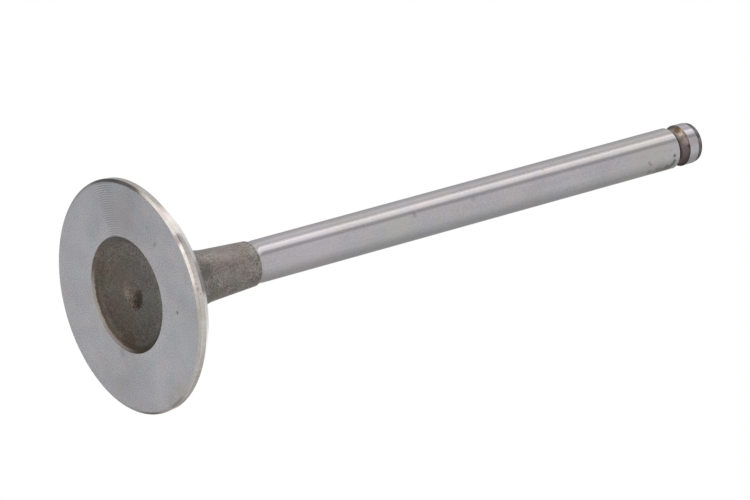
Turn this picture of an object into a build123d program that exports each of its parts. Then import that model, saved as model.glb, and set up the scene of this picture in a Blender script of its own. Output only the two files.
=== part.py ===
from build123d import *
from math import radians, sqrt, tan
import os

# One-piece poppet valve, in millimetres. The flat of its head lies on z = 0 and its stem rises
# along +Z, so it stands on its head. Widths are radial and heights run along the stem.

# Head
head_diameter = 37.5
face_chamfer_width = 0.5
face_chamfer_height = 0.33
margin_height = 0.85            # plain cylinder between the face chamfer and the seat
seat_width = 1.8
seat_angle = 45.0               # from the plane of the head
back_angle = 24.5               # of the head's back behind the seat, from the same plane
underhead_radius = 11.0         # sweep from the head's back into the neck

# Forged cup in the face, struck a little off the axis, and the centre mark that is on the axis
cup_diameter = 18.65
cup_depth = 1.0                 # at the foot of its wall
cup_floor_dish = 0.2            # extra depth in the middle
cup_wall_draft = 45.0           # from the axis
cup_corner_radius = 1.2
cup_offset_x = -0.38
cup_offset_y = 0.1
mark_diameter = 4.6
mark_depth = 0.45               # below the dished floor

# Neck, left as blasted, up to where the stem is ground
neck_end_height = 23.45
neck_end_diameter = 7.37
neck_taper = 3.3                # half angle
grinding_blend_height = 1.2     # hollow left by the wheel's rounded edge

# Ground stem, the groove for the collets, and the tip
stem_diameter = 6.97
overall_length = 116.5
groove_to_tip = 4.1             # from the middle of the groove
groove_width = 2.37             # at the surface of the stem
groove_radius = 1.25
tip_chamfer_height = 1.1
tip_chamfer_angle = 12.0        # from the axis
tip_edge_radius = 0.35

node_name = "engine_valve"


def turned_blank():
    """The outside of the valve: a half section from the face to the tip, turned about Z."""
    head_radius = head_diameter / 2
    stem_radius = stem_diameter / 2
    groove_height = overall_length - groove_to_tip
    groove_depth = groove_radius - sqrt(groove_radius**2 - (groove_width / 2) ** 2)

    margin_end_height = face_chamfer_height + margin_height
    seat_end_height = margin_end_height + seat_width * tan(radians(seat_angle))
    seat_end = (head_radius - seat_width, seat_end_height)
    neck_end = (neck_end_diameter / 2, neck_end_height)

    # The head's back and the neck are straight lines that would meet in this corner.
    back_slope = tan(radians(back_angle))
    neck_slope = tan(radians(neck_taper))
    neck_foot_radius = neck_end[0] + (neck_end_height - seat_end_height) * neck_slope
    corner_run = (seat_end[0] - neck_foot_radius) / (1 - back_slope * neck_slope)
    underhead_corner = (seat_end[0] - corner_run, seat_end_height + corner_run * back_slope)

    stem_start = (stem_radius, neck_end_height + grinding_blend_height)
    groove_start = (stem_radius, groove_height - groove_width / 2)
    groove_root = (stem_radius - groove_depth, groove_height)
    groove_end = (stem_radius, groove_height + groove_width / 2)
    chamfer_start = (stem_radius, overall_length - tip_chamfer_height)
    tip_corner_radius = stem_radius - tip_chamfer_height * tan(radians(tip_chamfer_angle))
    tip_corner = (tip_corner_radius, overall_length)
    tip_centre = (0, overall_length)

    with BuildPart() as blank:
        with BuildSketch(Plane.XZ):
            with BuildLine():
                Polyline(
                    tip_centre,
                    (0, 0),
                    (head_radius - face_chamfer_width, 0),
                    (head_radius, face_chamfer_height),
                    (head_radius, margin_end_height),
                    seat_end,
                )
                FilletPolyline(seat_end, underhead_corner, neck_end, radius=underhead_radius)
                TangentArc(stem_start, neck_end, tangent=(0, -1))
                Line(stem_start, groove_start)
                ThreePointArc(groove_start, groove_root, groove_end)
                Line(groove_end, chamfer_start)
                FilletPolyline(chamfer_start, tip_corner, tip_centre, radius=tip_edge_radius)
            make_face()
        revolve(axis=Axis.Z)
    return blank.part


def cup():
    """The hollow of the face, with a drafted wall, a rounded foot and a dished floor."""
    rim_radius = cup_diameter / 2
    foot_radius = rim_radius - cup_depth * tan(radians(cup_wall_draft))
    floor_middle = (0, cup_depth + cup_floor_dish)

    with BuildPart() as hollow:
        with BuildSketch(Plane.XZ):
            with BuildLine():
                Polyline(floor_middle, (0, 0), (rim_radius, 0), (foot_radius, cup_depth))
                TangentArc(floor_middle, (foot_radius, cup_depth), tangent=(1, 0))
            make_face()
        revolve(axis=Axis.Z)
        foot_of_wall = hollow.edges().filter_by(GeomType.CIRCLE).sort_by(SortBy.RADIUS)[0]
        fillet(foot_of_wall, cup_corner_radius)
    return Pos(cup_offset_x, cup_offset_y, 0) * hollow.part


def centre_mark():
    """Ball that sinks the round mark into the floor of the cup."""
    half_width = mark_diameter / 2
    ball_radius = (half_width**2 + mark_depth**2) / (2 * mark_depth)
    mark_bottom = cup_depth + cup_floor_dish + mark_depth
    return Pos(0, 0, mark_bottom - ball_radius) * Sphere(ball_radius)


def engine_valve():
    """The blank with the cup and its mark taken out of the face."""
    return turned_blank() - cup() - centre_mark()


os.makedirs("parts", exist_ok=True)
valve = engine_valve()
valve.label = node_name
export_step(valve, f"parts/{node_name}.step")
print(f"{node_name}: volume {valve.volume:.1f} mm3, length {valve.bounding_box().size.Z:.2f} mm")
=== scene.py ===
from math import asin, cos, degrees, hypot, pi, radians, sin, sqrt, tan

import bmesh
import bpy
from mathutils import Matrix, Vector


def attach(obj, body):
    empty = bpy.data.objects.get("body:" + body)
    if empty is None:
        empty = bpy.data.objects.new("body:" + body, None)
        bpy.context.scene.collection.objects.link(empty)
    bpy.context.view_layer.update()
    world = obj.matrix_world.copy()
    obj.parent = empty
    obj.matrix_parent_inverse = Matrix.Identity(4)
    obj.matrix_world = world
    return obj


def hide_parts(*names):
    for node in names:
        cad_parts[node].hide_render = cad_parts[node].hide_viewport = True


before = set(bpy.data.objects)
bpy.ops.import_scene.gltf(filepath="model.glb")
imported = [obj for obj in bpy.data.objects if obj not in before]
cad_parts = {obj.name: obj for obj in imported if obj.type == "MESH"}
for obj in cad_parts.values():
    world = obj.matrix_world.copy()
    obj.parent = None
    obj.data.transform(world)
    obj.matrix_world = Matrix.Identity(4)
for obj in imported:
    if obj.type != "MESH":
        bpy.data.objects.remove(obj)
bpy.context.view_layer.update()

scene = bpy.context.scene
mm = 0.001
print("frame loaded:", sorted(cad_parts))


class Wire:  # a socket that can be added, multiplied and so on
    def __init__(self, tree, socket=None):
        self.tree = tree
        self.socket = socket

    def node(self, kind, settings=None, sockets=None, out=0):
        made = self.tree.nodes.new("ShaderNode" + kind)
        for name, value in (settings or {}).items():
            if name == "stops":
                setStops(made.color_ramp, value)
            else:
                setattr(made, name, value)
        for name, value in (sockets or {}).items():
            if isinstance(value, Wire):
                self.tree.links.new(value.socket, made.inputs[name])
            else:
                made.inputs[name].default_value = value
        return Wire(self.tree, made.outputs[out] if len(made.outputs) else None)

    def math(self, operation, *values):
        return self.node("Math", {"operation": operation}, dict(enumerate(values)))

    def __add__(self, other):
        return self.math("ADD", self, other)

    def __radd__(self, other):
        return self.math("ADD", other, self)

    def __sub__(self, other):
        return self.math("SUBTRACT", self, other)

    def __rsub__(self, other):
        return self.math("SUBTRACT", other, self)

    def __mul__(self, other):
        return self.math("MULTIPLY", self, other)

    def __rmul__(self, other):
        return self.math("MULTIPLY", other, self)

    def __truediv__(self, other):
        return self.math("DIVIDE", self, other)

    def between(self, low, high):  # 0 at low, 1 at high, eased
        return self.node("MapRange", {"interpolation_type": "SMOOTHSTEP"},
                         {"Value": self, "From Min": low, "From Max": high})

    def blend(self, first, second):  # this wire is the share of the second colour
        return self.node("Mix", {"data_type": "RGBA"}, {0: self, 6: first, 7: second}, 2)

    def washed(self, other):  # this colour multiplied by another one
        return self.node("Mix", {"data_type": "RGBA", "blend_type": "MULTIPLY"},
                         {0: 1.0, 6: self, 7: other}, 2)

    def tinted(self, share, tint):  # this colour, multiplied by the tint where the share is 1
        return self.washed(share.blend(grey(1.0), tint))


def setStops(ramp, stops):
    while len(ramp.elements) < len(stops):
        ramp.elements.new(1.0)
    for element, (position, colour) in zip(ramp.elements, stops):
        element.position = position
        element.color = colour


def grey(level, warmth=0.0):
    return (level * (1 + warmth), level, level * (1 - warmth), 1.0)


def newFinish(name):
    finish = bpy.data.materials.new(name)
    finish.use_nodes = True
    finish.node_tree.nodes.clear()
    return finish, Wire(finish.node_tree)


def places(wire):  # object place in millimetres
    here = wire.node("TexCoord", out="Object")
    return wire.node("VectorMath", {"operation": "SCALE"}, {0: here, "Scale": 1000.0})


def along(wire, here, axis):
    return wire.node("SeparateXYZ", sockets={0: here}, out=axis)


def fromAxis(wire, here):
    flat = wire.node("VectorMath", {"operation": "MULTIPLY"}, {0: here, 1: (1, 1, 0)})
    return wire.node("VectorMath", {"operation": "LENGTH"}, {0: flat}, "Value")


def towards(azimuth, elevation=0.0):  # unit vector, azimuth from -Y towards +X
    a = radians(azimuth)
    e = radians(elevation)
    return Vector((sin(a) * cos(e), -cos(a) * cos(e), sin(e)))


def facing(wire, here, azimuth, full, gone):  # 1 on that side of the axis, 0 away from it
    flat = wire.node("VectorMath", {"operation": "MULTIPLY"}, {0: here, 1: (1, 1, 0)})
    flat = wire.node("VectorMath", {"operation": "NORMALIZE"}, {0: flat})
    turned = wire.node("VectorMath", {"operation": "DOT_PRODUCT"}, {0: flat, 1: towards(azimuth)}, "Value")
    return turned.between(cos(radians(gone)), cos(radians(full)))


def grain(wire, here, scale, detail=2.0, stretch=(1, 1, 1)):
    here = wire.node("Mapping", sockets={"Vector": here, "Scale": stretch})
    return wire.node("TexNoise", sockets={"Vector": here, "Scale": scale, "Detail": detail})


def rings(wire, radius, pitch, detail=2.0):  # lathe marks that depend on the radius alone
    return wire.node("TexNoise", {"noise_dimensions": "1D"},
                     {"W": radius, "Scale": 1.0 / pitch, "Detail": detail})


patchEdge = {"grain": 1.6, "ragged": 0.9, "fade": (0.35, 1.0)}


def patched(wire, here, colour, colourPatches):  # patches of another colour, ragged at their edges
    ragged = (grain(wire, here, patchEdge["grain"], detail=3.0) - 0.5) * patchEdge["ragged"]
    for patch in colourPatches:
        gap = wire.node("VectorMath", {"operation": "DISTANCE"}, {0: here, 1: patch["at"]}, "Value")
        share = 1 - (gap / patch["reach"] + ragged).between(*patchEdge["fade"])
        colour = (share * patch["share"]).blend(colour, patch["colour"])
    return colour


driftRange = (0.36, 0.64)


def drifted(wire, here, colour, look):  # slow change between a warm and a cool tint
    drift = grain(wire, here, look["drift"], detail=3.0).between(*driftRange)
    return colour.washed(drift.blend(look["warm"], look["cool"]))


def mottled(look, fine, wide):  # a fine and a wide grain, mixed between the dark and the full colour
    mixed = fine * look["fineShare"] + wide * (1 - look["fineShare"])
    return mixed.between(*look["contrast"]).blend(look["dark"], look["colour"])


def steel(wire, look, colour, height, roughness=None):
    bump = wire.node("Bump", sockets={"Height": height, "Strength": 1.0, "Distance": look["depth"] * mm})
    sockets = {"Base Color": colour, "Metallic": 1.0, "Normal": bump,
               "Roughness": look["roughness"] if roughness is None else roughness,
               "Specular Tint": look.get("edge", grey(1.0)),
               "Anisotropic": look.get("brushed", 0.0), "Anisotropic Rotation": look.get("across", 0.0)}
    shader = wire.node("BsdfPrincipled", sockets=sockets)
    wire.node("OutputMaterial", sockets={"Surface": shader})


valveForm = {  # millimetres, radii from the axis and heights from the flat of the head
    "markRadius": 2.33,
    "markDepth": 0.45,
    "markEdgeRound": 0.25,
    "cupRadius": 9.325,
    "cupDepth": 1.0,
    "cupDish": 0.2,
    "cupDraft": 45.0,
    "cupCorner": 1.2,
    "cupRimRound": 0.12,
    "cupShift": (-0.38, 0.1),
    "cupCeiling": 2.0,  # above anything in the cup
    "shiftFrom": 2.8,  # no shift within this radius, all of it past the next span
    "shiftOver": 3.4,
    "shiftPastRim": 0.4,
    "headRadius": 18.75,
    "chamferWidth": 0.5,
    "chamferHeight": 0.33,
    "marginEnd": 1.18,
    "seatWidth": 1.8,
    "backAngle": 24.5,
    "underheadRound": 11.0,
    "neckRadius": 3.685,
    "neckEnd": 23.45,
    "neckTaper": 3.3,
    "stemStart": 24.65,
    "stemRadius": 3.485,
    "grooveHeight": 112.4,
    "grooveWidth": 2.37,
    "grooveRadius": 1.25,
    "landEnd": 115.4,
    "length": 116.5,
    "tipTaper": 12.0,
    "tipRound": 0.35,
    "faceEdgeRound": 0.4,
    "outerEdgeRound": 0.12,
    "edgeRound": 0.035,
    "holdLine": 0.1,  # from the end of a round to the line beside it
    "flatWithin": 0.02,
    "mergeWithin": 0.0004,
}


def sideMark(azimuth, radius, height):  # place on the outside, in millimetres
    return towards(azimuth) * radius + Vector((0, 0, height))


def rimMark(azimuth, height):
    return sideMark(azimuth, valveForm["headRadius"], height)


def stemMark(azimuth, height):
    return sideMark(azimuth, valveForm["stemRadius"], height)


# In the looks below a side is an azimuth with the angles from it where the effect is full and gone.
# Rings are spans of radii, heights are spans along Z, and a patch's reach is its radius, all in
# millimetres. A grain is the scale of the noise per millimetre, and a share goes from 0 to 1.
# Most colour patches are stains; those that are painted highlight or painted shade say so.

faceLook = {
    "colour": (0.705, 0.703, 0.74, 1), "dark": (0.48, 0.477, 0.5, 1), "roughness": 0.36,
    "brushed": 0.8, "across": 0.25, "depth": 0.0012,
    "pitch": 0.36, "pitchPart": 0.5, "ringPitch": 0.5, "ringPart": 0.6,
    "fineGrain": 4.4, "wideGrain": 0.22, "fineShare": 0.75, "contrast": (0.34, 0.66),
    "drift": 0.28, "warm": (1.02, 1.0, 0.98, 1), "cool": (0.985, 1.0, 1.01, 1),
    # the lathe marks are painted lighter and darker where the light catches them: painted highlight and
    # painted shade, faint over a wide side and strong over a narrow one
    "faintGlintSide": (-84, 20, 75), "faintRidgeGlint": grey(1.03), "faintGrooveShade": grey(0.96),
    "glintSide": (-84, 3, 9), "ridgeGlint": grey(1.12), "groove": grey(0.74),
    "lighterSide": (102, 15, 50), "lighter": grey(1.06), "innerRing": (9.6, 12.0), "inner": grey(1.05),
    "colourPatches": [
        {"at": (4.3, -12.3, 0), "reach": 0.42, "share": 0.9, "colour": grey(0.24)},
        {"at": (-6.7, -11.3, 0), "reach": 0.6, "share": 0.5, "colour": grey(0.34)},
        {"at": (-9.4, -10.4, 0), "reach": 0.5, "share": 0.3, "colour": grey(0.36)},
        {"at": (13.0, 9.0, 0), "reach": 2.6, "share": 0.3, "colour": (0.56, 0.52, 0.49, 1)},
        {"at": (16.4, -7.6, 0), "reach": 2.4, "share": 0.5, "colour": (0.53, 0.49, 0.43, 1)},
        {"at": (17.3, -4.6, 0), "reach": 1.8, "share": 0.45, "colour": (0.55, 0.51, 0.44, 1)},
        {"at": (14.2, -8.2, 0), "reach": 1.8, "share": 0.3, "colour": (0.63, 0.56, 0.6, 1)},
        {"at": (-12.5, -4.2, 0), "reach": 4.5, "share": 0.35, "colour": (0.58, 0.54, 0.55, 1)},
        {"at": (8.0, -13.0, 0), "reach": 5.0, "share": 0.3, "colour": (0.58, 0.61, 0.63, 1)},
        {"at": (-7.6, -6.6, 0), "reach": 1.3, "share": 0.3, "colour": (0.66, 0.58, 0.64, 1)},
        {"at": (-1.8, 9.5, 0), "reach": 1.6, "share": 0.45, "colour": (0.6, 0.56, 0.54, 1)},
        {"at": (1.4, 9.6, 0), "reach": 1.6, "share": 0.45, "colour": (0.6, 0.56, 0.54, 1)},
        {"at": (4.4, 8.6, 0), "reach": 1.6, "share": 0.45, "colour": (0.58, 0.54, 0.52, 1)},
        {"at": (8.0, 5.5, 0), "reach": 1.1, "share": 0.5, "colour": (0.46, 0.44, 0.43, 1)},
        {"at": (-16.0, 4.0, 0), "reach": 4.0, "share": 0.3, "colour": (0.6, 0.6, 0.67, 1)},
        {"at": (-10.5, 10.0, 0), "reach": 4.5, "share": 0.3, "colour": (0.6, 0.6, 0.67, 1)},
    ],
}


def makeTurnedFace():
    look = faceLook
    finish, wire = newFinish("turnedFace")
    here = places(wire)
    radius = fromAxis(wire, here)
    lathe = wire.math("SINE", radius * (2 * pi / look["pitch"]))
    height = lathe * look["pitchPart"] + rings(wire, radius, look["ringPitch"]) * look["ringPart"]
    fine = grain(wire, here, look["fineGrain"])
    colour = mottled(look, fine, grain(wire, here, look["wideGrain"], detail=4.0))
    # painted highlight and painted shade along the lathe marks, only on the sides where the light catches
    # them
    marks = lathe * 0.5 + 0.5
    faintGlintLines = marks.blend(look["faintRidgeGlint"], look["faintGrooveShade"])
    glintLines = marks.blend(look["ridgeGlint"], look["groove"])
    colour = colour.tinted(facing(wire, here, *look["faintGlintSide"]), faintGlintLines)
    colour = colour.tinted(facing(wire, here, *look["glintSide"]), glintLines)
    # lighter towards one side
    colour = colour.tinted(facing(wire, here, *look["lighterSide"]), look["lighter"])
    colour = colour.tinted(1 - radius.between(*look["innerRing"]), look["inner"])
    colour = patched(wire, here, drifted(wire, here, colour, look), look["colourPatches"])
    steel(wire, look, colour, height)
    return finish


cupLook = {
    "colour": grey(0.26, 0.03), "dark": grey(0.122, 0.035), "roughness": 0.52, "depth": 0.05,
    "fineGrain": 4.2, "wideGrain": 0.8, "fineShare": 0.78, "contrast": (0.33, 0.67),
    "drift": 0.4, "warm": (1.06, 0.97, 0.955, 1), "cool": (0.985, 1.015, 0.93, 1),
    "brownSide": (-170, 60, 125), "brown": (1.03, 0.94, 0.9, 1),
    "shadeSide": (110, 20, 100), "shadeRing": (1.0, 7.0), "shade": grey(0.7, 0.03),
    "outerRing": (5.6, 7.2), "outer": grey(1.1),
    "gritRing": (2.2, 3.0), "gritRange": (0.36, 0.64), "pit": grey(0.72), "grit": grey(1.26),
    # the wall and foot tints are painted shade
    "wallSide": (140, 45, 85), "wallRing": (7.8, 8.6), "wallHeights": (0.5, 0.8), "wallLeast": 0.1,
    "wall": (0.15, 0.122, 0.098, 1),
    "footShadeSide": (165, 45, 85), "footShadeRing": (7.9, 8.3), "footShadeHeights": (0.35, 0.6), "foot": grey(0.78),
    "lipSide": (-62, 25, 55), "lipRing": (8.7, 9.1), "lipShare": 0.6, "lip": (0.28, 0.27, 0.28, 1),
    # the rim's edge band, on one side only, is partly wear and partly a painted highlight
    "tanSide": (160, 36, 61), "tanHeights": (0.27, 0.44), "tanRagged": 0.4,
    "paleSide": (-168, 12, 40), "pale": (0.46, 0.428, 0.395, 1), "tan": (0.325, 0.288, 0.27, 1),
    "colourPatches": [
        {"at": (-4.5, 7.0, 1.1), "reach": 3.4, "share": 0.4, "colour": (0.17, 0.155, 0.105, 1)},
        {"at": (1.5, 6.0, 1.2), "reach": 3.2, "share": 0.35, "colour": (0.175, 0.14, 0.135, 1)},
        {"at": (-4.0, 2.0, 1.2), "reach": 3.0, "share": 0.3, "colour": (0.185, 0.15, 0.145, 1)},
        # this dark patch by the wall on one side is painted shade
        {"at": (7.3, 4.5, 1.1), "reach": 2.8, "share": 0.5, "colour": (0.1, 0.085, 0.05, 1)},
        # the next five lighten the upper and left side of the centre mark, a painted highlight; the four
        # after them darken the rest of it, painted shade
        {"at": (-0.9, 1.8, 1.4), "reach": 1.1, "share": 0.7, "colour": (0.3, 0.255, 0.215, 1)},
        {"at": (-1.8, 1.5, 1.4), "reach": 1.1, "share": 0.55, "colour": (0.27, 0.24, 0.21, 1)},
        {"at": (-1.9, 0.3, 1.5), "reach": 1.4, "share": 0.6, "colour": (0.21, 0.205, 0.17, 1)},
        {"at": (-1.2, -0.7, 1.5), "reach": 1.1, "share": 0.45, "colour": (0.19, 0.18, 0.15, 1)},
        {"at": (-0.6, 0.8, 1.5), "reach": 1.1, "share": 0.5, "colour": (0.24, 0.21, 0.175, 1)},
        {"at": (0.9, 1.8, 1.4), "reach": 0.8, "share": 0.6, "colour": (0.15, 0.1, 0.065, 1)},
        {"at": (0.0, -1.8, 1.4), "reach": 1.1, "share": 0.6, "colour": (0.1, 0.09, 0.075, 1)},
        {"at": (1.6, 0.35, 1.4), "reach": 1.1, "share": 0.6, "colour": (0.1, 0.075, 0.055, 1)},
        {"at": (0.9, -0.65, 1.5), "reach": 1.9, "share": 0.9, "colour": (0.07, 0.05, 0.035, 1)},
    ],
}


def makeForgedCup():
    look = cupLook
    finish, wire = newFinish("forgedCup")
    here = places(wire)
    depth = along(wire, here, 2)
    radius = fromAxis(wire, here)
    fine = grain(wire, here, look["fineGrain"], detail=3.0)
    colour = mottled(look, fine, grain(wire, here, look["wideGrain"], detail=3.0))
    shaded = facing(wire, here, *look["shadeSide"]) * radius.between(*look["shadeRing"])
    colour = colour.tinted(facing(wire, here, *look["brownSide"]), look["brown"])
    colour = colour.tinted(shaded, look["shade"])
    colour = colour.tinted(radius.between(*look["outerRing"]), look["outer"])
    colour = patched(wire, here, colour, look["colourPatches"])
    gritty = fine.between(*look["gritRange"]).blend(look["pit"], look["grit"])
    colour = colour.tinted(1 - radius.between(*look["gritRing"]), gritty)

    # the wall and its foot, with painted shade: darker low on the wall, most on one side, and darker at
    # the foot on one side
    wall = (1 - depth.between(*look["wallHeights"])) * radius.between(*look["wallRing"])
    least = look["wallLeast"]
    wall = wall * (least + (1 - least) * facing(wire, here, *look["wallSide"]))
    colour = drifted(wire, here, wall.blend(colour, look["wall"]), look)
    foot = radius.between(*look["footShadeRing"]) * depth.between(*look["footShadeHeights"])
    colour = colour.tinted(foot * facing(wire, here, *look["footShadeSide"]), look["foot"])

    # the lip, then the rim's edge on one side: tan where it is rubbed, with a painted highlight that is
    # pale where the light falls on it
    lip = radius.between(*look["lipRing"]) * facing(wire, here, *look["lipSide"])
    colour = (lip * look["lipShare"]).blend(colour, look["lip"])
    rubbedAndLit = facing(wire, here, *look["paleSide"]).blend(look["tan"], look["pale"])
    edge = 1 - (depth + (fine - 0.5) * look["tanRagged"]).between(*look["tanHeights"])
    edge = edge * facing(wire, here, *look["tanSide"])
    steel(wire, look, edge.blend(colour, rubbedAndLit), fine)
    return finish


marginLook = {
    "colour": (0.79, 0.745, 0.72, 1), "dark": (0.66, 0.625, 0.59, 1), "roughness": 0.14,
    "depth": 0.004, "fineGrain": 2.6, "along": (1, 1, 0.15), "wideGrain": 0.5, "fineShare": 0.55,
    "contrast": (0.34, 0.66), "drift": 0.5, "warm": (1.03, 0.985, 0.98, 1),
    "cool": (0.98, 1.0, 0.985, 1), "darkerSide": (-63, 10, 26), "darker": grey(0.8),
    "colourPatches": [
        {"at": sideMark(-20.5, 18.4, 0.0), "reach": 1.35, "share": 0.95, "colour": (0.4, 0.35, 0.355, 1)},
        {"at": rimMark(-15.0, 0.7), "reach": 1.4, "share": 0.6, "colour": (0.95, 0.9, 0.89, 1)},
        {"at": sideMark(-98.0, 18.5, 0.15), "reach": 4.0, "share": 0.5, "colour": (0.8, 0.8, 0.88, 1)},
        {"at": sideMark(-12.5, 18.7, 0.35), "reach": 0.5, "share": 0.5, "colour": (0.62, 0.62, 0.5, 1)},
        {"at": rimMark(5.0, 0.6), "reach": 1.7, "share": 0.4, "colour": (0.82, 0.7, 0.66, 1)},
        {"at": rimMark(-35.0, 0.7), "reach": 1.9, "share": 0.45, "colour": (0.64, 0.57, 0.57, 1)},
        {"at": rimMark(40.0, 0.6), "reach": 2.4, "share": 0.35, "colour": (0.68, 0.62, 0.59, 1)},
        {"at": rimMark(28.0, 0.6), "reach": 1.6, "share": 0.3, "colour": (0.68, 0.67, 0.6, 1)},
        {"at": rimMark(57.0, 0.6), "reach": 2.0, "share": 0.35, "colour": (0.66, 0.66, 0.64, 1)},
        {"at": rimMark(-78.0, 0.6), "reach": 2.2, "share": 0.6, "colour": (0.68, 0.67, 0.75, 1)},
        {"at": rimMark(5.0, 0.55), "reach": 0.35, "share": 0.5, "colour": (0.42, 0.3, 0.28, 1)},
        {"at": rimMark(7.5, 0.8), "reach": 0.3, "share": 0.45, "colour": (0.42, 0.3, 0.28, 1)},
        {"at": rimMark(2.5, 0.25), "reach": 0.3, "share": 0.4, "colour": (0.45, 0.34, 0.3, 1)},
        {"at": rimMark(16.0, 0.7), "reach": 1.6, "share": 0.35, "colour": (0.66, 0.64, 0.52, 1)},
        # this one is painted shade, darkening the margin on that side
        {"at": rimMark(74.0, 0.6), "reach": 3.2, "share": 0.72, "colour": (0.48, 0.44, 0.385, 1)},
    ],
}


def makeTurnedMargin():
    look = marginLook
    finish, wire = newFinish("turnedMargin")
    here = places(wire)
    lines = grain(wire, here, look["fineGrain"], detail=3.0, stretch=look["along"])
    colour = mottled(look, lines, grain(wire, here, look["wideGrain"], detail=3.0))
    colour = patched(wire, here, drifted(wire, here, colour, look), look["colourPatches"])
    # darker towards one side
    steel(wire, look, colour.tinted(facing(wire, here, *look["darkerSide"]), look["darker"]), lines)
    return finish


seatLook = {
    "colour": grey(0.71, 0.01), "dark": grey(0.61, 0.015), "roughness": 0.18, "depth": 0.0015,
    "pitch": 0.07, "drift": 0.5, "warm": (1.025, 0.99, 0.975, 1), "cool": (0.985, 1.0, 1.015, 1),
    "colourPatches": [
        {"at": sideMark(6, 18.0, 2.0), "reach": 1.9, "share": 0.75, "colour": (0.68, 0.57, 0.56, 1)},
        {"at": sideMark(-6, 18.0, 2.0), "reach": 1.5, "share": 0.6, "colour": (0.68, 0.58, 0.56, 1)},
        {"at": sideMark(-17, 17.8, 2.2), "reach": 1.6, "share": 0.4, "colour": (0.66, 0.63, 0.69, 1)},
        # the next two, on either side of the seat, are painted shade that dims its reflection there
        {"at": sideMark(-26, 17.9, 2.1), "reach": 2.3, "share": 0.5, "colour": (0.5, 0.505, 0.52, 1)},
        {"at": sideMark(25, 17.9, 2.1), "reach": 2.6, "share": 0.65, "colour": (0.5, 0.505, 0.49, 1)},
        {"at": sideMark(-52, 17.9, 2.2), "reach": 1.3, "share": 0.4, "colour": (0.62, 0.54, 0.55, 1)},
        {"at": sideMark(76, 17.9, 2.2), "reach": 3.0, "share": 0.35, "colour": (0.56, 0.54, 0.48, 1)},
    ],
}


def makeGroundSeat():
    look = seatLook
    finish, wire = newFinish("groundSeat")
    here = places(wire)
    lines = rings(wire, along(wire, here, 2), look["pitch"])
    colour = drifted(wire, here, lines.blend(look["dark"], look["colour"]), look)
    steel(wire, look, patched(wire, here, colour, look["colourPatches"]), lines)
    return finish


neckLook = {
    "colour": grey(0.41, 0.06), "dark": grey(0.155, 0.08), "roughness": 0.42, "depth": 0.06,
    "fineGrain": 3.9, "wideGrain": 0.6, "fineShare": 0.7, "contrast": (0.33, 0.67),
    "speckGrain": 4.5, "speckRange": (0.62, 0.74), "speckShare": 0.5, "speck": grey(0.5, 0.04),
    "drift": 0.4, "warm": (1.06, 0.97, 0.965, 1), "cool": (0.985, 0.998, 0.985, 1),
    # the foot tint is painted shade towards the head
    # the sheen is a painted highlight along one side
    "sheenSide": (-56, 8, 26), "sheen": grey(1.16), "footShadeHeights": (12.5, 17.0), "foot": grey(0.9),
    "colourPatches": [
        {"at": sideMark(-38, 3.9, 16.8), "reach": 2.4, "share": 0.3, "colour": (0.33, 0.25, 0.225, 1)},
        {"at": sideMark(-12, 4.2, 15.2), "reach": 1.6, "share": 0.35, "colour": (0.3, 0.235, 0.215, 1)},
        {"at": sideMark(-12, 3.9, 18.0), "reach": 4.5, "share": 0.4, "colour": (0.29, 0.235, 0.225, 1)},
        {"at": sideMark(-34, 3.8, 21.3), "reach": 1.8, "share": 0.35, "colour": (0.27, 0.255, 0.19, 1)},
        {"at": sideMark(-64, 4.0, 17.5), "reach": 4.0, "share": 0.35, "colour": (0.36, 0.345, 0.345, 1)},
        # this dark patch at the foot of the neck is a painted shadow
        {"at": sideMark(-8, 4.8, 12.2), "reach": 2.2, "share": 0.6, "colour": (0.125, 0.12, 0.1, 1)},
        {"at": sideMark(28, 4.0, 18.5), "reach": 2.2, "share": 0.25, "colour": (0.25, 0.24, 0.2, 1)},
        {"at": sideMark(50, 4.5, 14.0), "reach": 2.0, "share": 0.4, "colour": (0.19, 0.19, 0.125, 1)},
    ],
}


def makeBlastedNeck():
    look = neckLook
    finish, wire = newFinish("blastedNeck")
    here = places(wire)
    fine = grain(wire, here, look["fineGrain"])
    colour = mottled(look, fine, grain(wire, here, look["wideGrain"], detail=3.0))
    specks = grain(wire, here, look["speckGrain"], detail=1.0).between(*look["speckRange"])
    colour = (specks * look["speckShare"]).blend(colour, look["speck"])
    # painted highlight: lighter along one side where the light falls
    colour = colour.tinted(facing(wire, here, *look["sheenSide"]), look["sheen"])
    # painted shade: darker towards the head
    colour = colour.tinted(1 - along(wire, here, 2).between(*look["footShadeHeights"]), look["foot"])
    colour = patched(wire, here, drifted(wire, here, colour, look), look["colourPatches"])
    steel(wire, look, colour, fine)
    return finish


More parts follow.
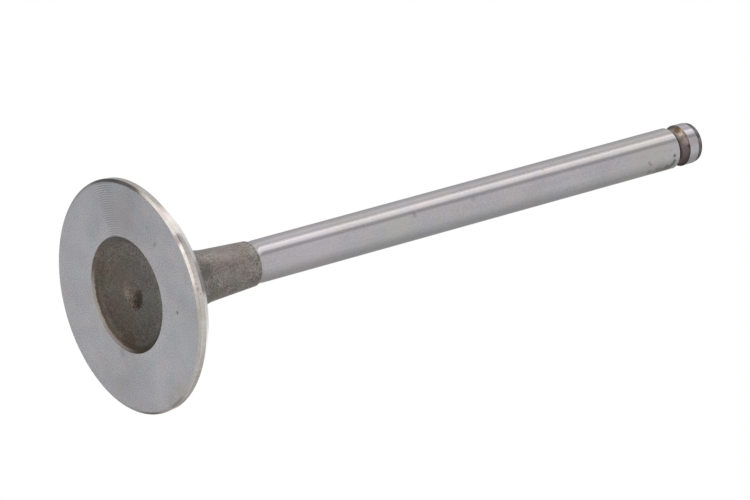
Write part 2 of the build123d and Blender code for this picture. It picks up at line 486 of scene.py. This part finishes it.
stemLook = {
    "colour": (0.61, 0.59, 0.62, 1), "dark": (0.525, 0.508, 0.533, 1), "roughness": 0.1,
    "roughSpread": 0.06, "depth": 0.0006, "edge": grey(0.88),
    "streakGrain": 1.8, "streakAlong": (1, 1, 0.05), "streakShare": 0.25,
    "fineGrain": 4.2, "fineAlong": (1, 1, 0.6), "fineShare": 0.5,
    "wideGrain": 0.14, "wideShare": 0.25, "contrast": (0.38, 0.62),
    "drift": 0.3, "warm": (1.025, 0.997, 0.975, 1), "cool": (0.985, 0.993, 1.02, 1),
    "lowerSide": (55, 20, 48), "lower": (0.98, 1.006, 0.98, 1),
    "upperSide": (-40, 8, 24), "upper": (1.0, 0.99, 0.965, 1),
    "colourPatches": [
        {"at": stemMark(2, 33.0), "reach": 9.0, "share": 0.35, "colour": (0.67, 0.61, 0.66, 1)},
        {"at": stemMark(5, 51.0), "reach": 3.4, "share": 0.4, "colour": (0.64, 0.6, 0.56, 1)},
        {"at": stemMark(0, 75.0), "reach": 3.6, "share": 0.35, "colour": (0.64, 0.585, 0.57, 1)},
        {"at": stemMark(45, 50.0), "reach": 8.0, "share": 0.35, "colour": (0.58, 0.59, 0.57, 1)},
        {"at": stemMark(-48, 60.0), "reach": 6.0, "share": 0.35, "colour": (0.62, 0.57, 0.56, 1)},
        {"at": stemMark(10, 104.0), "reach": 6.5, "share": 0.6, "colour": (0.575, 0.56, 0.52, 1)},
        {"at": stemMark(26, 110.05), "reach": 0.45, "share": 0.95, "colour": (0.2, 0.21, 0.19, 1)},
        {"at": stemMark(42, 110.1), "reach": 0.45, "share": 0.95, "colour": (0.19, 0.21, 0.18, 1)},
        {"at": stemMark(52, 110.0), "reach": 0.75, "share": 0.9, "colour": (0.23, 0.24, 0.2, 1)},
        {"at": stemMark(80, 108.3), "reach": 2.3, "share": 0.8, "colour": (0.2, 0.18, 0.15, 1)},
        {"at": stemMark(65, 109.0), "reach": 1.3, "share": 0.8, "colour": (0.27, 0.21, 0.17, 1)},
        {"at": stemMark(53, 107.2), "reach": 0.9, "share": 0.5, "colour": (0.42, 0.35, 0.31, 1)},
        {"at": stemMark(71, 106.6), "reach": 1.6, "share": 0.65, "colour": (0.25, 0.24, 0.18, 1)},
        {"at": stemMark(60, 104.9), "reach": 0.7, "share": 0.6, "colour": (0.24, 0.25, 0.2, 1)},
        {"at": stemMark(27, 104.4), "reach": 0.5, "share": 0.7, "colour": (0.38, 0.34, 0.37, 1)},
        {"at": stemMark(33, 104.8), "reach": 0.45, "share": 0.7, "colour": (0.36, 0.32, 0.33, 1)},
        {"at": stemMark(38, 107.0), "reach": 1.6, "share": 0.35, "colour": (0.48, 0.49, 0.45, 1)},
        {"at": stemMark(-4, 114.5), "reach": 1.5, "share": 0.6, "colour": (0.5, 0.44, 0.46, 1)},
        {"at": stemMark(-60, 114.6), "reach": 1.6, "share": 0.5, "colour": (0.55, 0.5, 0.54, 1)},
        {"at": stemMark(48, 115.0), "reach": 0.9, "share": 0.4, "colour": (0.46, 0.48, 0.45, 1)},
        {"at": stemMark(-36, 82.7), "reach": 0.35, "share": 0.6, "colour": (0.4, 0.34, 0.38, 1)},
        {"at": stemMark(-8, 54.8), "reach": 0.6, "share": 0.6, "colour": (0.38, 0.35, 0.38, 1)},
        {"at": stemMark(-8, 67.0), "reach": 0.7, "share": 0.5, "colour": (0.4, 0.37, 0.4, 1)},
    ],
}


def makeGroundStem():
    look = stemLook
    finish, wire = newFinish("groundStem")
    here = places(wire)
    streaks = grain(wire, here, look["streakGrain"], stretch=look["streakAlong"])
    fine = grain(wire, here, look["fineGrain"], stretch=look["fineAlong"])
    wide = grain(wire, here, look["wideGrain"], detail=3.0)
    mixed = streaks * look["streakShare"] + fine * look["fineShare"] + wide * look["wideShare"]
    colour = mixed.between(*look["contrast"]).blend(look["dark"], look["colour"])
    colour = colour.tinted(facing(wire, here, *look["lowerSide"]), look["lower"])
    colour = colour.tinted(facing(wire, here, *look["upperSide"]), look["upper"])
    colour = patched(wire, here, drifted(wire, here, colour, look), look["colourPatches"])
    steel(wire, look, colour, streaks, look["roughness"] + (streaks - 0.5) * look["roughSpread"])
    return finish


grooveLook = {  # the stops run from one side of the groove to the other
    "stops": [
        (0.03, (0.085, 0.078, 0.065, 1)), (0.2, (0.165, 0.128, 0.135, 1)),
        (0.38, (0.25, 0.2, 0.21, 1)), (0.52, (0.4, 0.32, 0.305, 1)),
        (0.68, (0.41, 0.345, 0.32, 1)), (0.9, (0.38, 0.33, 0.3, 1)),
    ],
    "roughness": 0.42, "depth": 0.008, "fineGrain": 3.0, "contrast": (0.3, 0.7), "darker": grey(0.8),
    "drift": 1.2, "warm": (1.06, 0.98, 0.96, 1), "cool": (0.95, 0.985, 0.99, 1),
    # the wall tint is painted shade on the groove's near wall
    "wallHeights": (112.0, 112.8), "wallClearSide": (-80, 15, 42), "wallClear": 0.7,
    "wall": grey(0.42, 0.04),
    "colourPatches": [
        # this pale patch on the far wall is a painted highlight
        {"at": sideMark(-36, 2.95, 113.05), "reach": 0.5, "share": 0.95, "colour": (0.66, 0.56, 0.47, 1)},
        {"at": sideMark(-45, 3.3, 113.4), "reach": 0.45, "share": 0.8, "colour": (0.55, 0.42, 0.32, 1)},
        {"at": sideMark(-57, 3.0, 113.15), "reach": 0.85, "share": 0.9, "colour": (0.235, 0.135, 0.07, 1)},
        {"at": sideMark(-66, 3.2, 111.7), "reach": 1.2, "share": 0.6, "colour": (0.24, 0.225, 0.2, 1)},
        # this dark patch low in the groove is painted shade
        {"at": sideMark(-8, 2.6, 112.2), "reach": 1.1, "share": 0.6, "colour": (0.2, 0.155, 0.15, 1)},
        {"at": sideMark(-5, 3.1, 113.1), "reach": 0.75, "share": 0.55, "colour": (0.5, 0.4, 0.37, 1)},
        {"at": sideMark(-22, 3.3, 113.3), "reach": 0.4, "share": 0.9, "colour": (0.1, 0.075, 0.07, 1)},
        {"at": sideMark(10, 3.3, 113.4), "reach": 0.4, "share": 0.9, "colour": (0.1, 0.075, 0.08, 1)},
    ],
}


def makeOxideGroove():
    look = grooveLook
    finish, wire = newFinish("oxideGroove")
    here = places(wire)
    side = along(wire, here, 0) / (-2 * valveForm["stemRadius"]) + 0.5
    colour = wire.node("ValToRGB", {"stops": look["stops"]}, {0: side})
    fine = grain(wire, here, look["fineGrain"], detail=3.0)
    colour = colour.tinted(1 - fine.between(*look["contrast"]), look["darker"])
    # painted shade on the near wall of the groove, cleared on one side
    wall = 1 - along(wire, here, 2).between(*look["wallHeights"])
    wall = wall * (1 - look["wallClear"] * facing(wire, here, *look["wallClearSide"]))
    colour = colour.tinted(wall, look["wall"])
    colour = patched(wire, here, drifted(wire, here, colour, look), look["colourPatches"])
    steel(wire, look, colour, fine)
    return finish


tipLook = {
    "colour": grey(0.25), "dark": (0.16, 0.155, 0.155, 1), "roughness": 0.38,
    "edge": grey(0.45), "depth": 0.008, "fineGrain": 2.5, "contrast": (0.3, 0.7),
    "drift": 0.5, "warm": (1.08, 0.96, 0.97, 1), "cool": (0.95, 1.02, 1.0, 1),
    "colourPatches": [
        {"at": sideMark(-2, 3.3, 116.0), "reach": 0.9, "share": 0.6, "colour": (0.32, 0.285, 0.3, 1)},
        {"at": sideMark(-12, 3.3, 115.8), "reach": 0.7, "share": 0.7, "colour": (0.12, 0.11, 0.115, 1)},
        {"at": sideMark(20, 3.3, 116.0), "reach": 0.6, "share": 0.7, "colour": (0.2, 0.14, 0.145, 1)},
        {"at": sideMark(42, 3.3, 116.0), "reach": 0.9, "share": 0.6, "colour": (0.2, 0.22, 0.2, 1)},
        {"at": sideMark(-36, 3.3, 116.0), "reach": 1.3, "share": 0.6, "colour": (0.27, 0.285, 0.265, 1)},
    ],
}


def makeHardenedTip():
    look = tipLook
    finish, wire = newFinish("hardenedTip")
    here = places(wire)
    fine = grain(wire, here, look["fineGrain"], detail=3.0)
    colour = fine.between(*look["contrast"]).blend(look["dark"], look["colour"])
    steel(wire, look, patched(wire, here, drifted(wire, here, colour, look), look["colourPatches"]), fine)
    return finish


endLook = {
    "colour": grey(0.54), "dark": grey(0.42), "roughness": 0.28, "depth": 0.002,
    "fineGrain": 2.0, "along": (1, 0.06, 1), "contrast": (0.3, 0.7),
}


def makeGroundEnd():
    look = endLook
    finish, wire = newFinish("groundEnd")
    here = places(wire)
    lines = grain(wire, here, look["fineGrain"], stretch=look["along"])
    steel(wire, look, lines.between(*look["contrast"]).blend(look["dark"], look["colour"]), lines)
    return finish


valveSteps = {  # pieces that each round, arc and long line is made of
    "turn": 240, "mark": 10, "dish": 18, "wheel": 8, "groove": 24, "sweep": 32, "cupCorner": 6,
    "cupRim": 6, "tip": 7, "markEdge": 3, "faceEdge": 5, "outerEdge": 5, "edge": 2,
    "faceCuts": 11, "stemCuts": 28, "endCuts": 4,
}


def lineTo(bm, start, x, z):
    grown = bmesh.ops.extrude_vert_indiv(bm, verts=[start])["verts"][0]
    grown.co = (x, 0, z)
    return grown


def arcTo(bm, start, centreX, centreZ, angle, steps):  # degrees, positive from +X towards +Z
    turn = Matrix.Rotation(radians(-angle / steps), 3, "Y")
    for step in range(steps):
        grown = bmesh.ops.extrude_vert_indiv(bm, verts=[start])["verts"]
        bmesh.ops.rotate(bm, cent=(centreX, 0, centreZ), matrix=turn, verts=grown)
        start = grown[0]
    return start


def roundCorner(bm, place, radius, segments, hold):
    corner = min(bm.verts, key=lambda v: (v.co - place).length)
    before, after = [(e.other_vert(corner).co - corner.co) for e in corner.link_edges]
    offset = radius * tan((pi - before.angle(after)) / 2)
    for edge in list(corner.link_edges):  # a line beside the round keeps the flat next to it evenly lit
        if edge.calc_length() > offset + 3 * hold:
            bmesh.utils.edge_split(edge, corner, (offset + hold) / edge.calc_length())
    bmesh.ops.bevel(bm, geom=[corner], offset=offset, segments=segments,
                    profile=0.5, affect="VERTICES", material=-1)


def cutLine(bm, start, end, cuts):
    edge = min(bm.edges, key=lambda e: sum((v.co - (start + end) / 2).length for v in e.verts))
    bmesh.ops.subdivide_edges(bm, edges=[edge], cuts=cuts)


def drawHalfSection(bm, form, steps):
    ballRadius = (form["markRadius"] ** 2 + form["markDepth"] ** 2) / (2 * form["markDepth"])
    footRadius = form["cupRadius"] - form["cupDepth"] * tan(radians(form["cupDraft"]))
    dishRadius = (footRadius ** 2 + form["cupDish"] ** 2) / (2 * form["cupDish"])
    middle = form["cupDepth"] + form["cupDish"]
    markTurn = degrees(asin(form["markRadius"] / ballRadius))
    dishTurn = degrees(asin(footRadius / dishRadius) - asin(form["markRadius"] / dishRadius))

    # the face: centre mark, dished floor, wall, flat, chamfer
    point = bm.verts.new((0, 0, middle + form["markDepth"]))
    markEdge = arcTo(bm, point, 0, middle + form["markDepth"] - ballRadius, -markTurn, steps["mark"])
    foot = arcTo(bm, markEdge, 0, middle - dishRadius, -dishTurn, steps["dish"])
    rim = lineTo(bm, foot, form["cupRadius"], 0)
    faceEnd = lineTo(bm, rim, form["headRadius"] - form["chamferWidth"], 0)
    chamferEnd = lineTo(bm, faceEnd, form["headRadius"], form["chamferHeight"])
    marginEnd = lineTo(bm, chamferEnd, form["headRadius"], form["marginEnd"])
    seatEnd = lineTo(bm, marginEnd, form["headRadius"] - form["seatWidth"],
                     form["marginEnd"] + form["seatWidth"])

    # the back of the head and the neck, two lines joined by the sweep
    backSlope = tan(radians(form["backAngle"]))
    neckSlope = tan(radians(form["neckTaper"]))
    neckFoot = form["neckRadius"] + (form["neckEnd"] - seatEnd.co.z) * neckSlope
    run = (seatEnd.co.x - neckFoot) / (1 - backSlope * neckSlope)
    sweep = lineTo(bm, seatEnd, seatEnd.co.x - run, seatEnd.co.z + run * backSlope)
    neckEnd = lineTo(bm, sweep, form["neckRadius"], form["neckEnd"])

    # the hollow left by the grinding wheel, then the stem
    step = form["neckRadius"] - form["stemRadius"]
    rise = form["stemStart"] - form["neckEnd"]
    wheel = (step ** 2 + rise ** 2) / (2 * step)
    stemStart = arcTo(bm, neckEnd, form["stemRadius"] + wheel, form["stemStart"],
                      -degrees(asin(rise / wheel)), steps["wheel"])
    half = form["grooveWidth"] / 2
    grooveStart = lineTo(bm, stemStart, form["stemRadius"], form["grooveHeight"] - half)
    inset = sqrt(form["grooveRadius"] ** 2 - half ** 2)
    grooveEnd = arcTo(bm, grooveStart, form["stemRadius"] + inset, form["grooveHeight"],
                      -2 * degrees(asin(half / form["grooveRadius"])), steps["groove"])
    landEnd = lineTo(bm, grooveEnd, form["stemRadius"], form["landEnd"])
    taper = (form["length"] - form["landEnd"]) * tan(radians(form["tipTaper"]))
    tipCorner = lineTo(bm, landEnd, form["stemRadius"] - taper, form["length"])
    tipCentre = lineTo(bm, tipCorner, 0, form["length"])

    # cuts along the long lines, then the rounds, all by place since they replace the points
    cuts = [(rim, faceEnd, "faceCuts"), (stemStart, grooveStart, "stemCuts"),
            (tipCorner, tipCentre, "endCuts")]
    rounded = [(sweep, "underheadRound", "sweep"), (foot, "cupCorner", "cupCorner"),
               (rim, "cupRimRound", "cupRim"), (tipCorner, "tipRound", "tip"),
               (markEdge, "markEdgeRound", "markEdge"), (faceEnd, "faceEdgeRound", "faceEdge"),
               (chamferEnd, "outerEdgeRound", "outerEdge"), (marginEnd, "edgeRound", "edge"),
               (seatEnd, "edgeRound", "edge"), (grooveStart, "edgeRound", "edge"),
               (grooveEnd, "edgeRound", "edge"), (landEnd, "edgeRound", "edge")]
    cuts = [(start.co.copy(), end.co.copy(), steps[count]) for start, end, count in cuts]
    rounded = [(point.co.copy(), form[size], steps[count]) for point, size, count in rounded]
    for start, end, count in cuts:
        cutLine(bm, start, end, count)
    for place, radius, count in rounded:
        roundCorner(bm, place, radius, count, form["holdLine"])


finishes = {
    "face": makeTurnedFace, "cup": makeForgedCup, "margin": makeTurnedMargin, "seat": makeGroundSeat,
    "neck": makeBlastedNeck, "stem": makeGroundStem, "groove": makeOxideGroove,
    "tip": makeHardenedTip, "end": makeGroundEnd,
}


def finishAt(form, radius, height):  # which finish the mesh has at this place
    if height < form["flatWithin"] and radius > form["cupRadius"]:
        return "face"
    if height < form["cupCeiling"] and radius < form["cupRadius"] + form["cupRimRound"]:
        return "cup"
    if height < form["marginEnd"]:
        return "margin"
    if height < form["marginEnd"] + form["seatWidth"]:
        return "seat"
    if height < form["neckEnd"] + form["flatWithin"]:
        return "neck"
    if abs(height - form["grooveHeight"]) < form["grooveWidth"] / 2:
        return "groove"
    if height < form["landEnd"]:
        return "stem"
    return "tip" if height < form["length"] - form["flatWithin"] else "end"


def shiftCup(bm, form):  # the cup was struck off the axis, its centre mark wasn't
    shiftX, shiftY = form["cupShift"]
    for vert in bm.verts:
        away = hypot(vert.co.x, vert.co.y)
        if vert.co.z < form["cupCeiling"] and away < form["cupRadius"] + form["shiftPastRim"]:
            share = min(max((away - form["shiftFrom"]) / form["shiftOver"], 0.0), 1.0)
            vert.co.x += shiftX * share
            vert.co.y += shiftY * share


def placeMesh(bm, meshName, objectName):
    mesh = bpy.data.meshes.new(meshName)
    bm.to_mesh(mesh)
    bm.free()
    placed = bpy.data.objects.new(objectName, mesh)
    scene.collection.objects.link(placed)
    return placed


def makeValve():
    form = valveForm
    bm = bmesh.new()
    drawHalfSection(bm, form, valveSteps)
    bmesh.ops.spin(bm, geom=bm.verts[:] + bm.edges[:], cent=(0, 0, 0), axis=(0, 0, 1), angle=2 * pi,
                   steps=valveSteps["turn"], use_merge=True)
    bmesh.ops.remove_doubles(bm, verts=bm.verts[:], dist=form["mergeWithin"])
    bmesh.ops.recalc_face_normals(bm, faces=bm.faces[:])
    order = list(finishes)
    for face in bm.faces:
        face.smooth = True
        centre = face.calc_center_median()
        zone = finishAt(form, hypot(centre.x, centre.y), centre.z)
        face.material_index = order.index(zone)
    shiftCup(bm, form)
    bmesh.ops.scale(bm, verts=bm.verts[:], vec=(mm, mm, mm))

    valve = placeMesh(bm, "valveBody", "valve_body")
    for makeFinish in finishes.values():
        valve.data.materials.append(makeFinish())
    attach(valve, "root")
    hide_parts("engine_valve")
    print("valve:", len(valve.data.polygons), "faces")


makeValve()


# the paper is there from above only, and fades out between two distances in millimetres
floorLook = {"size": 6.0, "sides": 64, "fade": (250, 1600), "colour": grey(0.8)}


def makeFloor():
    bm = bmesh.new()
    bmesh.ops.create_circle(bm, cap_ends=True, radius=floorLook["size"] / 2,
                            segments=floorLook["sides"])
    bmesh.ops.recalc_face_normals(bm, faces=bm.faces[:])
    floor = placeMesh(bm, "studioFloor", "studio_floor")
    finish, wire = newFinish("palePaper")
    under = wire.node("NewGeometry", out="Backfacing")
    fade = fromAxis(wire, places(wire)).between(*floorLook["fade"])
    paper = wire.node("BsdfDiffuse", sockets={"Color": floorLook["colour"]})
    clear = wire.node("BsdfTransparent")
    surface = wire.node("MixShader", sockets={0: wire.math("MAXIMUM", fade, under), 1: paper, 2: clear})
    wire.node("OutputMaterial", sockets={"Surface": surface})
    floor.data.materials.append(finish)
    floor.visible_diffuse = False
    floor.visible_glossy = False
    floor.visible_shadow = False
    print("floor: paper sweep of", floorLook["size"], "m")


makeFloor()


roomLight = {
    "base": 0.68,
    "darkest": 0.13,
    "strips": [  # azimuth, full within, gone beyond, lowest, highest, soft edge, level added
        ("overhead", -62, 5, 22, -25, 70, 18, 0.42),
        ("overheadSide", -103, 4, 14, 0, 70, 18, 0.1),
        ("gap", -31, 1, 12, -10, 70, 18, -0.2),
        ("shade", 150, 8, 108, 20, 70, 14, -0.25),
        ("lowDark", 22, 3, 18, -45, 2, 8, -0.34),
        ("lowLight", 62, 4, 16, -45, 2, 8, 0.26),
        ("lowSoft", -45, 4, 22, -45, 2, 8, -0.24),
    ],
    "discs": [  # azimuth, elevation, full within, gone beyond, level added
        ("backdrop", 178, 38, 6, 20, 0.78),
        ("flag", -131, -28, 14, 22, -0.5),
        ("flagSide", -145, -14, 4, 12, -0.2),
        ("flagLow", -159, -48, 6, 24, -0.39),
        ("behind", -153, -4, 5, 31, -0.36),
        ("lowSide", 143, -18, 8, 30, -0.25),
        ("farSide", 163, 5, 10, 27, -0.32),
        ("lowFront", 105, -52, 18, 34, -0.12),
    ],
}


def makeRoom():
    world = bpy.data.worlds.new("studioRoom")
    scene.world = world
    world.use_nodes = True
    world.node_tree.nodes.clear()
    wire = Wire(world.node_tree)
    sight = wire.node("TexCoord", out="Generated")
    height = along(wire, sight, 2)
    level = roomLight["base"]
    for name, azimuth, full, gone, low, high, edge, added in roomLight["strips"]:
        part = facing(wire, sight, azimuth, full, gone)
        part = part * height.between(sin(radians(low - edge)), sin(radians(low + edge)))
        part = part * (1 - height.between(sin(radians(high - edge)), sin(radians(high + edge))))
        level = part * added + level
    for name, azimuth, elevation, full, gone, added in roomLight["discs"]:
        turned = wire.node("VectorMath", {"operation": "DOT_PRODUCT"},
                           {0: sight, 1: towards(azimuth, elevation)}, "Value")
        level = turned.between(cos(radians(gone)), cos(radians(full))) * added + level
    level = wire.math("MAXIMUM", level, roomLight["darkest"])
    seen = wire.node("LightPath", out="Is Camera Ray")
    level = seen + (1 - seen) * level
    glow = wire.node("Background", sockets={"Color": (1, 1, 1, 1), "Strength": level})
    wire.node("OutputWorld", sockets={"Surface": glow})
    print("room:", len(roomLight["strips"]) + len(roomLight["discs"]), "soft patches")


boxesAim = Vector((0, 0, 0.058))  # the middle of the valve

softboxes = [  # azimuth and elevation in degrees, sizes in metres, level as seen in a mirror
    {"name": "overheadBox", "azimuth": -66, "elevation": 30, "distance": 1.2, "width": 0.16,
     "height": 1.1, "level": 0.22, "warmth": 0.12},
    {"name": "frontBox", "azimuth": -82, "elevation": -60, "distance": 1.0, "width": 1.02,
     "height": 1.25, "level": 0.43, "warmth": 0.03},
]


def makeSoftbox(box):
    lamp = bpy.data.lights.new(box["name"], "AREA")
    lamp.shape = "RECTANGLE"
    lamp.size = box["width"]
    lamp.size_y = box["height"]
    lamp.energy = box["level"] * pi * box["width"] * box["height"]
    lamp.color = grey(1.0, box["warmth"])[:3]
    holder = bpy.data.objects.new(box["name"], lamp)
    way = towards(box["azimuth"], box["elevation"])
    holder.location = way * box["distance"] + boxesAim
    holder.rotation_euler = way.to_track_quat("Z", "Y").to_euler()
    holder.visible_camera = False
    scene.collection.objects.link(holder)
    print("light:", box["name"])


makeRoom()
for box in softboxes:
    makeSoftbox(box)


cameraView = {
    "lens": 257.592, "sensor": 36.0, "clip": (0.05, 20.0),
    "place": (-0.0000953, -0.695808, -0.4543636),
    "heading": -0.2739, "tilt": 35.8238, "roll": 74.4089,
}


def makeCamera():
    data = bpy.data.cameras.new("valveCamera")
    data.sensor_width = cameraView["sensor"]
    data.lens = cameraView["lens"]
    data.clip_start, data.clip_end = cameraView["clip"]
    camera = bpy.data.objects.new("valve_camera", data)
    turn = (Matrix.Rotation(radians(cameraView["heading"]), 4, "Z")
            @ Matrix.Rotation(radians(90 + cameraView["tilt"]), 4, "X")
            @ Matrix.Rotation(radians(cameraView["roll"]), 4, "Z"))
    camera.matrix_world = Matrix.Translation(cameraView["place"]) @ turn
    scene.collection.objects.link(camera)
    scene.camera = camera
    scene.view_settings.view_transform = "Standard"
    print("camera:", cameraView["lens"], "mm lens")


makeCamera()
